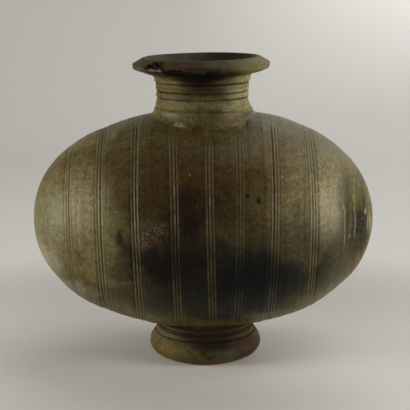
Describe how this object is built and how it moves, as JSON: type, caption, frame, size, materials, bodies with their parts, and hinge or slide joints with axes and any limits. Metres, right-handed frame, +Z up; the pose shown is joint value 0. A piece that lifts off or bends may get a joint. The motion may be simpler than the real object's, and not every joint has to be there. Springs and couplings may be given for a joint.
{
  "type": "cocoon jar",
  "caption": "Free-standing clay jar with an egg-shaped body lying on its side, comb-incised bands, a short ridged neck with a bevelled rim, and a flared ring foot.",
  "frame": {"origin": "on the floor, at the centre of the foot's resting ring, under the middle of the body", "axes": "+X along the cocoon towards its plugged end, +Y away from the viewer, +Z up through the neck"},
  "size_m": [0.38, 0.2508, 0.3364],
  "materials": {
    "body_clay": "burnished dark grey-brown earthenware, mottled by the fire",
    "inner_clay": "unburnished earthenware",
    "neck_clay": "earthenware, ochre brown, wheel-ridged",
    "rim_clay": "earthenware, worn and chipped",
    "foot_clay": "earthenware, ochre and reddish brown"
  },
  "bodies": {
    "root": {"left_body_half": "body_clay", "right_body_half": "body_clay", "right_end_plug": "body_clay", "body_seam_lute": "inner_clay", "neck": "neck_clay", "neck_lute": "neck_clay", "mouth_rim": "rim_clay", "foot_ring": "foot_clay", "foot_lute": "foot_clay"}
  },
  "joints": []
}
